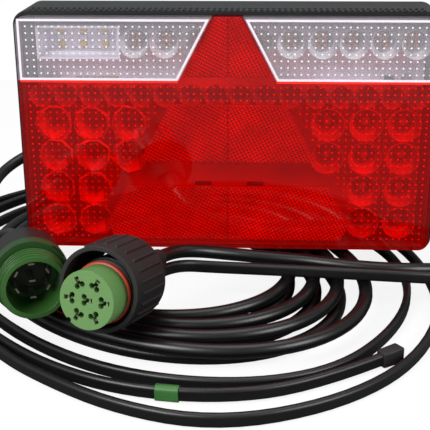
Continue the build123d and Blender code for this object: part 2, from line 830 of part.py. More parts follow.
sleeve_wall = 0.8
cap_wall = 0.8
flat_exit = coupling_exit.from_local_coords((0, -outlet_rise, 0))
flat_ahead = coupling_exit.from_local_coords((0, -outlet_rise, -12))
flat_on_table = table + flat_lead_width / 2
flat_on_coil = table + coil_height + flat_lead_width / 2 + 0.5
branch_route = [
    tuple(flat_exit),
    tuple(flat_ahead),
    (-22, -89.5, table + 22.5),
    (-9, -86.5, table + 20.5),
    (12, -86, flat_on_coil),
    (50, -89, flat_on_coil),
    (88, -93, flat_on_coil),
    (122, -90, table + 17),
    (150, -75, table + 10),
    (167, -44, table + 4.5),
    (171, 2, flat_on_table),
    (156, 50, flat_on_table),
    (116, 88, flat_on_table),
    (60, 106, flat_on_table),
    (-4, 116, flat_on_table),
    (-72, 122, flat_on_table),
    (-136, 106, flat_on_table),
    (-180, 58, flat_on_table),
    (-194, -6, flat_on_table),
    (-182, -64, flat_on_table),
    (-152, -116, flat_on_table),
    (-114, -155, flat_on_table),
    (-92, -177, flat_on_table),
    (-46, -209, flat_on_table),
    (2, -222, flat_on_table),
    (54, -203, flat_on_table),
    (94, -165, flat_on_table),
    (118, -108, flat_on_table),
    (119, -50, flat_on_table),
    (106, 4, flat_on_table),
    (76, 50, flat_on_table),
    (24, 80, flat_on_table),
    (-36, 92, flat_on_table),
    (-96, 88, flat_on_table),
    (-142, 60, flat_on_table),
    (-166, 10, flat_on_table),
    (-165, -44, flat_on_table),
    (-143, -94, flat_on_table),
    (-106, -140, flat_on_table),
    (-62, -173, flat_on_table),
    (-18, -187, flat_on_table),
    (25, -186, flat_on_table),
    (60, -169, flat_on_table),
    (86, -134, flat_on_table),
    (102, -94, flat_on_table),
    (106, -48, flat_on_table),
    (93, -2, flat_on_table),
    (62, 38, flat_on_table),
    (16, 65, table + 4.5),
    (-34, 80, table + 11),
    (-72, 94, table + 11.4),
    (-112, 97, table + 10),
    (-160, 66, table + 4),
    (-181, 12, flat_on_table),
    (-180, -42, flat_on_table),
    (-158, -94, flat_on_table),
    (-118, -143, flat_on_table),
    (-84, -173, flat_on_table),
    (-46, -194, flat_on_table + sleeve_wall),
    (1, -200, flat_on_table + sleeve_wall),
    (44, -187, flat_on_table + sleeve_wall / 2),
    (80, -160, flat_on_table + cap_wall),
]
lead_along("branch_lead", branch_route, flat_lead_width)

# ---- pieces on the flat lead ----
cap_length = 12.0
cap_foot = Vector(branch_route[-1])
cap_axis = (cap_foot - Vector(branch_route[-2])).normalized()
with BuildPart() as branch_end_cap:
    with BuildSketch(Plane(origin=cap_foot, z_dir=cap_axis)):
        Circle(flat_lead_width / 2 + cap_wall)
    extrude(amount=cap_length)
finish(branch_end_cap, "branch_end_cap")

sleeve_length = 11.0
sleeve_gap = 0.3
sleeve_start, sleeve_end = Vector(branch_route[-4]), Vector(branch_route[-3])
sleeve_axis = (sleeve_end - sleeve_start).normalized()
with BuildPart() as marker_sleeve:
    with BuildSketch(Plane(origin=(sleeve_start + sleeve_end) / 2, z_dir=sleeve_axis)):
        Circle(flat_lead_width / 2 + sleeve_wall)
        Circle(flat_lead_width / 2 + sleeve_gap, mode=Mode.SUBTRACT)
    extrude(amount=sleeve_length / 2, both=True)
finish(marker_sleeve, "marker_sleeve")
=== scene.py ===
"""Right-hand LED trailer lamp standing on its coiled lead, with its plug and its coupling.

The lamp's own metres: +X right, +Y to the rear, +Z up, origin in the middle of the rear face.
"""

import math

import bmesh
import bpy
from bpy.props import FloatProperty, FloatVectorProperty, IntProperty, PointerProperty
from mathutils import Matrix, Vector, noise


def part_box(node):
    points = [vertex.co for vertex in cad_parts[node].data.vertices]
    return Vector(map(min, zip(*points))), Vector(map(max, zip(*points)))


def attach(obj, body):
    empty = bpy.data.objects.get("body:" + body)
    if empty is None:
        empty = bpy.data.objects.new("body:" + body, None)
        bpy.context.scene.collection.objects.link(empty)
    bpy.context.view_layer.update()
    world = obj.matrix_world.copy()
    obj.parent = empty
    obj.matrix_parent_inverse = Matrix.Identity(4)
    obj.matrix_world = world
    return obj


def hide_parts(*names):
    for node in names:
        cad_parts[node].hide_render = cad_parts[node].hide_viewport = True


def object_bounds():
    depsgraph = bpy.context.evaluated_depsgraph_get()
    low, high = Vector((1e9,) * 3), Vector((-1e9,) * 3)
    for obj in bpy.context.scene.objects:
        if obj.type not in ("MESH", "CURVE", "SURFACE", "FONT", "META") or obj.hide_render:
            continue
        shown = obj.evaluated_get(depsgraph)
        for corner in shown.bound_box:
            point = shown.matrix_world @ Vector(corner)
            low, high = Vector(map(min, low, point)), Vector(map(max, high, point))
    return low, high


bl_info = {
    "name": "Trailer Lamp Builder",
    "version": (1, 0, 0),
    "blender": (4, 5, 0),
    "location": "View3D > Sidebar > Lamp",
    "description": "Builds an LED trailer lamp with its leads and connectors round a CAD frame",
    "category": "Add Mesh",
}

MM = 0.001
BODY = "root"

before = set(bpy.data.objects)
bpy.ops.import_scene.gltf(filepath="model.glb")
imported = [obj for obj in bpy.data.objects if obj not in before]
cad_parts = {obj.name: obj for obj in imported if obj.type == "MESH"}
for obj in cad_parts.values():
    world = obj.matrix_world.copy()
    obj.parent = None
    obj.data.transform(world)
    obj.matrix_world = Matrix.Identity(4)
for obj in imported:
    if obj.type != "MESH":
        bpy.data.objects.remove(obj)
cad_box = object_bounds()

# Heights and spots below are in millimetres.
TABLE = cad_box[0][2] / MM  # surface that the coil lies on
ON_TABLE = TABLE + 3.75
ON_COIL = TABLE + 19.65
FLAT_ON_TABLE = TABLE + 3.4
FLAT_ON_COIL = TABLE + 19.6

LENS_TOP = 70  # top edge of the lens
TRIANGLE_TOP = 7.4  # half the triangle's width at that edge
TRIANGLE_SLOPE = 0.53  # half width that the triangle gains with each millimetre down
DIVIDER = 32  # weld between the clear and the red lens
DOTTED_BAND = 18.5  # lower edge of the band of dots that runs across the triangle
INDICATOR_ROW = 50.5
TAIL_ROW = 20

PLUG_SPOT = (-91.3, -153.5, TABLE + 36)  # middle of the plug's mouth
PLUG_TURN = 20  # degrees from straight ahead
PLUG_LENGTH = 52
NUT_SPOT = (-57.2, -169.9, TABLE + 43)  # middle of the coupling nut's mouth
COUPLING_TURN, COUPLING_LIFT = -20, 9  # degrees
COUPLING_LENGTH = 66.0

CAMERA_SPOT = (0.01826, -0.58954, 0.14753)  # metres
CAMERA_TURN, CAMERA_DIP, CAMERA_ROLL = 2.70, 19.89, -0.21  # degrees
SOFTBOXES = (  # name, place and width in metres, watts
    ("softbox_left", (-0.75, -0.95, 0.75), 0.7, 20.0),
    ("softbox_right", (0.95, -0.7, 0.55), 0.6, 10.0),
    ("softbox_top", (0.05, 0.1, 1.0), 0.9, 5.0),
)


def linear(code):
    """Linear colour with alpha of an sRGB hex code."""
    parts = [int(code[k : k + 2], 16) / 255 for k in (1, 3, 5)]
    bent = [p / 12.92 if p <= 0.04045 else ((p + 0.055) / 1.055) ** 2.4 for p in parts]
    return (*bent, 1.0)


def hue(name, description, code):
    """Colour property with its default."""
    return FloatVectorProperty(
        name=name,
        description=description,
        subtype="COLOR",
        size=4,
        min=0,
        max=1,
        default=linear(code),
    )


def length(name, description, millimetres):
    """Length property with its default."""
    return FloatProperty(
        name=name, description=description, default=millimetres * MM, unit="LENGTH", precision=4
    )


class LampSizes(bpy.types.PropertyGroup):
    """Sizes of the lamp's fine detail."""

    dot_pitch: length("Dot pitch", "Spacing of the dots moulded into the lens", 3.75)
    dot_width: length("Dot width", "Width of one moulded dot", 1.15)
    prism_pitch: length("Prism pitch", "Spacing of the triangle's prisms", 1.9)
    prism_rise: length("Prism rise", "Height of one prism", 0.8)
    tooth_pitch: length("Tooth pitch", "Spacing of the teeth on top of the housing", 3.3)
    # the pale line round each clear window is a raised rim coloured as a painted highlight along its
    # edge
    highlight_line_width: length("Window line", "Width of the pale line round each clear window", 1.3)


class LeadSizes(bpy.types.PropertyGroup):
    """Sizes of the leads."""

    round_diameter: length("Round lead", "Diameter of the seven-core lead", 7.5)
    flat_height: length("Flat lead height", "Wide side of the two-core lead", 6.8)
    flat_thickness: length("Flat lead thickness", "Narrow side of the two-core lead", 4.2)
    turns: FloatProperty(name="Turns", description="Turns of the coil", default=6.83)
    points_per_turn: IntProperty(
        name="Points per turn", description="Control points of each turn of the coil", default=16
    )


class LampColours(bpy.types.PropertyGroup):
    """Colours of the finishes."""

    housing: hue("Housing", "Black moulded housing", "#0B0B0C")
    lens_red: hue("Red lens", "Tint of one face of the red lens", "#FF5A4E")
    lens_clear: hue("Clear lens", "Tint of one face of the clear lens", "#FCFBFD")
    board: hue("Board", "Pale solder mask", "#E6DCE8")
    plug_green: hue("Plug", "Green of the screwed plug", "#2C5420")
    ring_green: hue("Plug ring", "Dark green of the plug's ring", "#1E3C18")
    face_green: hue("Coupling face", "Pale green of the coupling's insert", "#567C44")
    seal_orange: hue("Coupling seal", "Orange of the coupling's seal", "#A83A1C")
    nut_grey: hue("Coupling nut", "Grey-black of the coupling's loose nut", "#121111")
    jacket: hue("Lead jacket", "Black of the lead jackets", "#070708")


def put(tree, kind, inputs=None, **settings):
    """Adds a node, with its settings, and its inputs set to values or linked to sockets."""
    node = tree.nodes.new(kind)
    for name, value in settings.items():
        setattr(node, name, value)
    for name, value in (inputs or {}).items():
        if isinstance(value, bpy.types.NodeSocket):
            tree.links.new(value, node.inputs[name])
        else:
            node.inputs[name].default_value = value
    return node


def blank(name):
    """New material with an empty node tree."""
    material = bpy.data.materials.new(name)
    material.use_nodes = True
    material.node_tree.nodes.clear()
    return material, material.node_tree


def shade(colour, factor):
    """The colour, darker or lighter."""
    return (*[min(1.0, c * factor) for c in colour[:3]], 1.0)


def surface(tree, shader):
    """Joins a shader to the output."""
    put(tree, "ShaderNodeOutputMaterial", {"Surface": shader})


def moulded(name, colour, rough, grain=0.5, relief=0.02, mottle=0.12, edge=0.35, **constants):
    """Plastic or rubber from a mould: fine grain, faint clouding of tone and gloss, softened edges.

    grain and relief are the size and height of the grain and edge the rounding, in millimetres.
    """
    material, tree = blank(name)
    place = put(tree, "ShaderNodeTexCoord").outputs["Object"]
    fine = put(tree, "ShaderNodeTexNoise", {"Vector": place, "Scale": 1000 / grain, "Detail": 3.0})
    cloud = put(tree, "ShaderNodeTexNoise", {"Vector": place, "Scale": 1000 / 18.0, "Detail": 4.0})
    tone = put(
        tree,
        "ShaderNodeMixRGB",
        {
            "Fac": cloud.outputs["Fac"],
            "Color1": shade(colour, 1 - mottle),
            "Color2": shade(colour, 1 + mottle),
        },
    )
    gloss = put(
        tree,
        "ShaderNodeMapRange",
        {"Value": cloud.outputs["Fac"], "To Min": rough * 0.85, "To Max": rough * 1.15},
    )
    soft = put(tree, "ShaderNodeBevel", {"Radius": edge * MM}, samples=4)
    bump = put(
        tree,
        "ShaderNodeBump",
        {
            "Strength": 0.5,
            "Distance": relief * MM,
            "Height": fine.outputs["Fac"],
            "Normal": soft.outputs["Normal"],
        },
    )
    body = put(
        tree,
        "ShaderNodeBsdfPrincipled",
        {
            "Base Color": tone.outputs[0],
            "Roughness": gloss.outputs["Result"],
            "Normal": bump.outputs["Normal"],
            **constants,
        },
    )
    surface(tree, body.outputs["BSDF"])
    return material


def plated(name, colour, rough, pitch=0.0, relief=0.15):
    """Plated metal: fine scratches, and with a pitch also thread ridges along Y, in millimetres."""
    material, tree = blank(name)
    place = put(tree, "ShaderNodeTexCoord").outputs["Object"]
    fine = put(tree, "ShaderNodeTexNoise", {"Vector": place, "Scale": 1800.0, "Detail": 4.0})
    gloss = put(
        tree,
        "ShaderNodeMapRange",
        {"Value": fine.outputs["Fac"], "To Min": rough * 0.7, "To Max": rough * 1.4},
    )
    height = fine.outputs["Fac"]
    if pitch:
        ridges = put(
            tree,
            "ShaderNodeTexWave",
            {"Vector": place, "Scale": 314.0 / pitch},
            bands_direction="Y",
            wave_profile="TRI",
        )
        height = ridges.outputs["Fac"]
    bump = put(
        tree,
        "ShaderNodeBump",
        {"Strength": 0.6, "Distance": (relief if pitch else 0.01) * MM, "Height": height},
    )
    body = put(
        tree,
        "ShaderNodeBsdfPrincipled",
        {
            "Base Color": colour,
            "Metallic": 1.0,
            "Roughness": gloss.outputs["Result"],
            "Normal": bump.outputs["Normal"],
        },
    )
    surface(tree, body.outputs["BSDF"])
    return material


def acrylic(name, tint, milk, solid):
    """Moulded acrylic: shows what is behind it in its own tint, a little milky and glossy.

    milk is the colour that scatters in the body and solid its share. The skin carries the faint
    waviness of a moulded face.
    """
    material, tree = blank(name)
    place = put(tree, "ShaderNodeTexCoord").outputs["Object"]
    wave = put(tree, "ShaderNodeTexNoise", {"Vector": place, "Scale": 1000 / 30.0, "Detail": 2.0})
    bump = put(
        tree,
        "ShaderNodeBump",
        {"Strength": 0.3, "Distance": 0.05 * MM, "Height": wave.outputs["Fac"]},
    )
    through = put(tree, "ShaderNodeBsdfTransparent", {"Color": tint})
    inside = put(tree, "ShaderNodeBsdfDiffuse", {"Color": milk})
    body = put(
        tree, "ShaderNodeMixShader", {0: solid, 1: through.outputs[0], 2: inside.outputs[0]}
    )
    skin = put(
        tree,
        "ShaderNodeBsdfGlossy",
        {"Roughness": 0.03, "Normal": bump.outputs["Normal"], "Color": (1, 1, 1, 1)},
    )
    edge = put(tree, "ShaderNodeFresnel", {"IOR": 1.49})
    back = put(tree, "ShaderNodeNewGeometry").outputs["Backfacing"]
    front = put(tree, "ShaderNodeMath", {0: 1.0, 1: back}, operation="SUBTRACT")
    amount = put(
        tree,
        "ShaderNodeMath",
        {0: edge.outputs["Fac"], 1: front.outputs[0]},
        operation="MULTIPLY",
    )
    whole = put(
        tree,
        "ShaderNodeMixShader",
        {0: amount.outputs[0], 1: body.outputs[0], 2: skin.outputs[0]},
    )
    surface(tree, whole.outputs[0])
    return material


def facing_painted_glints(name, dark, light, glint_gain=1.0):
    """Painted glints and shade on facets: each facet is coloured lighter or darker by how it faces one
    fixed direction, in random patches.
    """
    material, tree = blank(name)
    facing = put(tree, "ShaderNodeNewGeometry").outputs["Normal"]
    # painted light: how the facet faces a fixed direction sets how bright its colour is
    facing_glint = put(
        tree,
        "ShaderNodeVectorMath",
        {0: facing, 1: (0.62, -0.2, 0.75)},
        operation="DOT_PRODUCT",
    )
    place = put(tree, "ShaderNodeTexCoord").outputs["Object"]
    patch = put(tree, "ShaderNodeTexNoise", {"Vector": place, "Scale": 1000 / 14.0, "Detail": 3.0})
    step = put(
        tree,
        "ShaderNodeMapRange",
        {"Value": facing_glint.outputs["Value"], "From Min": -0.25, "From Max": 0.75},
    )
    amount = put(
        tree,
        "ShaderNodeMath",
        {0: step.outputs["Result"], 1: patch.outputs["Fac"]},
        operation="MULTIPLY",
    )
    amount = put(
        tree,
        "ShaderNodeMath",
        {0: amount.outputs[0], 1: glint_gain},
        operation="MULTIPLY",
        use_clamp=True,
    )
    tone = put(
        tree, "ShaderNodeMixRGB", {"Fac": amount.outputs[0], "Color1": dark, "Color2": light}
    )
    body = put(
        tree,
        "ShaderNodeBsdfPrincipled",
        {"Base Color": tone.outputs[0], "Roughness": 0.18, "IOR": 1.49},
    )
    surface(tree, body.outputs["BSDF"])
    return material


finishes = {}


def make_finishes(colours):
    """Every finish of the lamp, by the name of what it is on."""
    made = finishes
    # ABS, spark-eroded mould: deep black with a satin grain
    made["housing"] = moulded("abs_satin_black", colours.housing, 0.42, grain=0.6, relief=0.03)
    # red and clear acrylic, polished mould: glassy skin over the reflectors
    made["red_lens"] = acrylic("acrylic_red", colours.lens_red, linear("#FF1A10"), 0.09)
    made["clear_lens"] = acrylic("acrylic_clear", colours.lens_clear, linear("#F4F0F6"), 0.1)
    # the dots are moulded in the same acrylic; each is coloured opaque and brighter than the lens, a
    # painted glint that shows as a bright point
    made["red_dot_painted_glints"] = moulded("acrylic_red_dot_glints", linear("#FF5A48"), 0.2, edge=0.05)
    made["clear_dot_painted_glints"] = moulded("acrylic_clear_dot_glints", linear("#FFFFFF"), 0.2, edge=0.05)
    # pale line round each clear window: a painted highlight along the window's edge
    made["window_line"] = moulded("acrylic_painted_highlight_line", linear("#D9CFD8"), 0.25, edge=0.1)
    made["weld_line"] = moulded("acrylic_bright_weld", linear("#F0261A"), 0.2, edge=0.1)
    # triangle prisms: each facet is painted dark or bright red by the way it faces, as painted glints
    # and shade
    made["prisms"] = facing_painted_glints("acrylic_prisms_painted_glints", linear("#140000"), linear("#E8503C"), 1.4)
    made["backing"] = moulded("abs_red_backing", linear("#8E1410"), 0.5)
    # glass-epoxy board under a pale solder mask: nearly matt with a faint sheen
    made["board"] = moulded("solder_mask_pale", colours.board, 0.38, grain=0.9, mottle=0.06)
    # polished optics: each step and facet is painted bright or dark by the way it faces, as painted
    # glints and shade
    made["cup"] = facing_painted_glints("polished_optic_painted_glints", linear("#7A5E5E"), linear("#FFFFFF"), 1.5)
    made["crinkled_cup"] = facing_painted_glints("crinkled_optic_painted_glints", linear("#4A2C2C"), linear("#FFFFFF"), 1.7)
    made["clear_cup"] = facing_painted_glints("clear_optic_painted_glints", linear("#8C828C"), linear("#FFFFFF"), 1.8)
    made["reflector"] = moulded("metallised_box", linear("#D4D0D8"), 0.28, mottle=0.05)
    made["amber"] = moulded("led_resin_amber", linear("#F08A3C"), 0.3, grain=0.3)
    made["phosphor"] = moulded("led_phosphor_yellow", linear("#E5B93A"), 0.45, grain=0.2)
    made["white_led"] = moulded("led_case_white", linear("#E9E6E0"), 0.4, grain=0.3)
    made["red_led"] = moulded("led_resin_red", linear("#FF7A62"), 0.3, grain=0.3)
    made["black_part"] = moulded("moulded_epoxy_black", linear("#161415"), 0.5, grain=0.3)
    made["beige_part"] = moulded("ceramic_beige", linear("#B59A73"), 0.5, grain=0.3)
    made["wire"] = moulded("pvc_core_yellow", linear("#A8852E"), 0.4)
    made["rubber"] = moulded("rubber_black", linear("#111111"), 0.6, grain=0.8, relief=0.04)
    made["zinc"] = plated("zinc_screw", linear("#B9BCC0"), 0.3)
    made["thread"] = plated("zinc_thread", linear("#B4B8BC"), 0.3, pitch=1.0)
    made["gland"] = moulded("polyamide_black", linear("#17181A"), 0.4, grain=0.5)
    # glass-filled polyamide: a satin green with soft edges
    made["plug_green"] = moulded("polyamide_green", colours.plug_green, 0.32, mottle=0.1, edge=0.5)
    made["ring_green"] = moulded("polyamide_dark_green", colours.ring_green, 0.4, edge=0.5)
    made["face_green"] = moulded("polyamide_pale_green", colours.face_green, 0.48, mottle=0.06)
    made["socket"] = moulded("phenolic_socket", linear("#0F2210"), 0.35)
    made["brass"] = plated("tinned_brass", linear("#CFC6B4"), 0.28)
    made["nut"] = moulded("polyamide_grey_black", colours.nut_grey, 0.55, relief=0.04, edge=0.6)
    made["grey_ring"] = moulded("polyamide_grey", linear("#4E4D50"), 0.5)
    made["black"] = moulded("polyamide_deep_black", linear("#0F0F10"), 0.42, edge=0.6)
    made["seal"] = moulded("silicone_orange", colours.seal_orange, 0.42, grain=0.6, edge=0.8)
    # PVC jacket: soft-gloss black, faintly uneven from the extruder
    made["jacket"] = moulded(
        "pvc_jacket_black", colours.jacket, 0.34, grain=3.0, relief=0.05, mottle=0.2, edge=0.0
    )
    # flat lead: the round lead's black made a quarter lighter as a painted grey sheen, with broader
    # gloss
    made["flat_lead_painted_sheen"] = moulded(
        "pvc_flat_black_sheen", shade(colours.jacket, 1.25), 0.4, grain=3.0, relief=0.05, edge=0.0
    )
    made["sleeve"] = moulded("pvc_marker_green", linear("#2F6228"), 0.45, grain=1.2, relief=0.05)


def piece_from(name, bm, materials, smooth=None, body=BODY):
    """Finishes a bmesh as a piece that rides with a body; smooth is the angle that stays sharp."""
    bm.normal_update()
    mesh = bpy.data.meshes.new(name)
    bm.to_mesh(mesh)
    bm.free()
    for material in materials:
        mesh.materials.append(finishes[material])
    if smooth is not None:
        for face in mesh.polygons:
            face.use_smooth = True
        mesh.set_sharp_from_angle(angle=math.radians(smooth))
    piece = bpy.data.objects.new(name, mesh)
    bpy.context.scene.collection.objects.link(piece)
    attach(piece, body)
    return piece


def dress(finish, *nodes):
    """Gives CAD nodes a finish."""
    for name in nodes:
        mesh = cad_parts[name].data
        mesh.materials.clear()
        mesh.materials.append(finishes[finish])


def spun(bm, profile, foot, axis, sides):
    """Turned shape: the profile has (radius, height) pairs from its foot along the axis, in metres."""
    axis = Vector(axis).normalized()
    across = axis.orthogonal().normalized()
    line = [bm.verts.new(foot + axis * h + across * r) for r, h in profile]
    edges = [bm.edges.new(pair) for pair in zip(line, line[1:])]
    bmesh.ops.spin(
        bm,
        geom=line + edges,
        cent=foot,
        axis=axis,
        angle=2 * math.pi,
        steps=sides,
        use_merge=True,
    )
    bmesh.ops.remove_doubles(bm, verts=bm.verts, dist=0.00001)


def frame_ring(bm, corners, width, front, rise):
    """Flat line along the inside of an outline in the plane of the lens, standing proud of it."""
    outline = [bm.verts.new((x, front, z)) for x, z in corners]
    face = bm.faces.new(outline)
    bm.normal_update()
    if face.normal.y > 0:
        face.normal_flip()
    inset = bmesh.ops.inset_region(
        bm, faces=[face], thickness=width, use_boundary=True, use_even_offset=True
    )
    bmesh.ops.delete(bm, geom=[face], context="FACES_ONLY")
    raised = bmesh.ops.extrude_face_region(bm, geom=inset["faces"])
    top = [v for v in raised["geom"] if isinstance(v, bmesh.types.BMVert)]
    bmesh.ops.translate(bm, verts=top, vec=(0, -rise, 0))
    bmesh.ops.recalc_face_normals(bm, faces=bm.faces)


def triangle_half(z):
    """Half the triangle's width at a height, in metres."""
    return TRIANGLE_TOP * MM + TRIANGLE_SLOPE * (LENS_TOP * MM - z)


def window_corners(side, top, bottom, outer, gap):
    """Corners of one clear window: a rectangle whose inner side follows the triangle."""
    corners = [
        (outer, top),
        (triangle_half(top) + gap, top),
        (triangle_half(bottom) + gap, bottom),
        (outer, bottom),
    ]
    return [(side * x, z) for x, z in corners]


class LAMP_OT_finishes(bpy.types.Operator):
    """Makes the finishes"""

    bl_idname = "lamp.finishes"
    bl_label = "Finishes"

    def execute(self, context):
        make_finishes(context.scene.lamp_colours)
        return {"FINISHED"}


class LAMP_OT_camera(bpy.types.Operator):
    """Places the camera a little right of the middle and above the lamp"""

    bl_idname = "lamp.camera"
    bl_label = "Camera"

    def execute(self, context):
        lens = bpy.data.cameras.new("camera")
        lens.sensor_width = 36.0
        lens.lens = 81.8
        camera = bpy.data.objects.new("camera", lens)
        turn = Matrix.Rotation(math.radians(CAMERA_TURN), 4, "Z")
        tilt = Matrix.Rotation(math.radians(90 - CAMERA_DIP), 4, "X")
        roll = Matrix.Rotation(math.radians(CAMERA_ROLL), 4, "Z")
        camera.matrix_world = Matrix.Translation(CAMERA_SPOT) @ turn @ tilt @ roll
        context.scene.collection.objects.link(camera)
        context.scene.camera = camera
        return {"FINISHED"}


class LAMP_OT_stage(bpy.types.Operator):
    """Makes the white table, the backdrop and the studio lights"""

    bl_idname = "lamp.stage"
    bl_label = "Stage"

    def execute(self, context):
        scene = context.scene
        scene.view_settings.view_transform = "Standard"
        scene.cycles.transparent_max_bounces = 24
        bm = bmesh.new()
        bmesh.ops.create_grid(
            bm,
            x_segments=1,
            y_segments=1,
            size=0.5,
            matrix=Matrix.Translation((0, 0, TABLE * MM - 0.0003)),
        )
        mesh = bpy.data.meshes.new("table")
        bm.to_mesh(mesh)
        bm.free()
        table = bpy.data.objects.new("table", mesh)
        scene.collection.objects.link(table)
        # matt white table: pure white to the eye, with only a light shadow under the object
        material, tree = blank("white_table")
        seen = put(tree, "ShaderNodeLightPath")
        # to glossy rays the table is dark grey instead of white: painted shade in what shiny parts
        # reflect of it
        tone = put(
            tree,
            "ShaderNodeMixRGB",
            {
                "Fac": seen.outputs["Is Glossy Ray"],
                "Color1": (0.82, 0.82, 0.82, 1),
                "Color2": (0.1, 0.1, 0.1, 1),
            },
        )
        paper = put(tree, "ShaderNodeBsdfDiffuse", {"Color": tone.outputs[0]})
        glow = put(tree, "ShaderNodeEmission", {"Color": (1, 1, 1, 1), "Strength": 1.0})
        share = put(
            tree,
            "ShaderNodeMath",
            {0: seen.outputs["Is Camera Ray"], 1: 0.86},
            operation="MULTIPLY",
        )
        both = put(
            tree,
            "ShaderNodeMixShader",
            {0: share.outputs[0], 1: paper.outputs[0], 2: glow.outputs[0]},
        )
        surface(tree, both.outputs[0])
        mesh.materials.append(material)

        world = bpy.data.worlds.new("studio")
        scene.world = world
        world.use_nodes = True
        tree = world.node_tree
        tree.nodes.clear()
        seen = put(tree, "ShaderNodeLightPath")
        white = put(tree, "ShaderNodeBackground", {"Color": (1, 1, 1, 1), "Strength": 1.0})
        room = put(tree, "ShaderNodeBackground", {"Color": (0.95, 0.97, 1, 1), "Strength": 0.3})
        straight = put(
            tree,
            "ShaderNodeMath",
            {0: seen.outputs["Is Camera Ray"], 1: seen.outputs["Is Transmission Ray"]},
            operation="ADD",
        )
        mirrored = put(
            tree,
            "ShaderNodeMath",
            {0: seen.outputs["Is Glossy Ray"], 1: 0.02, 2: straight.outputs[0]},
            operation="MULTIPLY_ADD",
            use_clamp=True,
        )
        sky = put(
            tree,
            "ShaderNodeMixShader",
            {0: mirrored.outputs[0], 1: room.outputs[0], 2: white.outputs[0]},
        )
        put(tree, "ShaderNodeOutputWorld", {"Surface": sky.outputs[0]})

        for name, spot, size, watts in SOFTBOXES:
            light = bpy.data.lights.new(name, "AREA")
            light.size = size
            light.energy = watts
            lamp = bpy.data.objects.new(name, light)
            lamp.location = spot
            aim = Vector((0, -0.05, -0.03)) - Vector(spot)
            lamp.rotation_euler = aim.to_track_quat("-Z", "Y").to_euler()
            scene.collection.objects.link(lamp)
        return {"FINISHED"}


def coupling_axis():
    """Middle of the coupling's rear end and the way its leads run out, in millimetres."""
    turn, lift = math.radians(COUPLING_TURN), math.radians(COUPLING_LIFT)
    level = math.cos(lift)
    out = Vector((math.sin(turn) * level, -math.cos(turn) * level, math.sin(lift)))
    side = Vector((math.cos(turn), math.sin(turn), 0))
    up = out.cross(side)
    return Vector(NUT_SPOT) - up * 2.4 - out * COUPLING_LENGTH, out, up


def new_curve(name, points, depth, finish):
    """Lead as one smooth open spline through its listed points, in millimetres."""
    curve = bpy.data.curves.new(name, "CURVE")
    curve.dimensions = "3D"
    curve.resolution_u = 6
    curve.bevel_depth = depth
    curve.bevel_resolution = 5
    curve.use_fill_caps = True
    spline = curve.splines.new("NURBS")
    spline.points.add(len(points) - 1)
    for place, point in zip(spline.points, points):
        place.co = (*[c * MM for c in point], 1.0)
    spline.order_u = 3
    spline.use_endpoint_u = True
    curve.materials.append(finishes[finish])
    lead = bpy.data.objects.new(name, curve)
    bpy.context.scene.collection.objects.link(lead)
    return lead


def coil_turns(sizes):
    """The supply lead's turns: in on the upper layer, down, and out again on the lower one."""
    points = []
    count = round(sizes.turns * sizes.points_per_turn)
    first = math.radians(258)
    long_way = Vector((math.cos(math.radians(130.5)), math.sin(math.radians(130.5))))
    short_way = Vector((-long_way.y, long_way.x))
    for k in range(count + 1):
        share = k / count
        angle = first - share * sizes.turns * 2 * math.pi
        drop = min(1.0, max(0.0, (share - 0.46) / 0.08))
        inward = 1 - abs(1 - 2 * share) + 0.1 * drop
        centre = Vector((-34 - 11 * inward, -55 + 8 * inward))
        wander = 1.3 * math.sin(angle * 0.37)
        along = (134 - 45.5 * inward + wander) * math.cos(angle)
        across = (99 - 28 * inward) * math.sin(angle)
        spot = centre + long_way * along + short_way * across
        points.append((spot.x, spot.y, TABLE + 11.5 - 7.75 * drop))
    return points


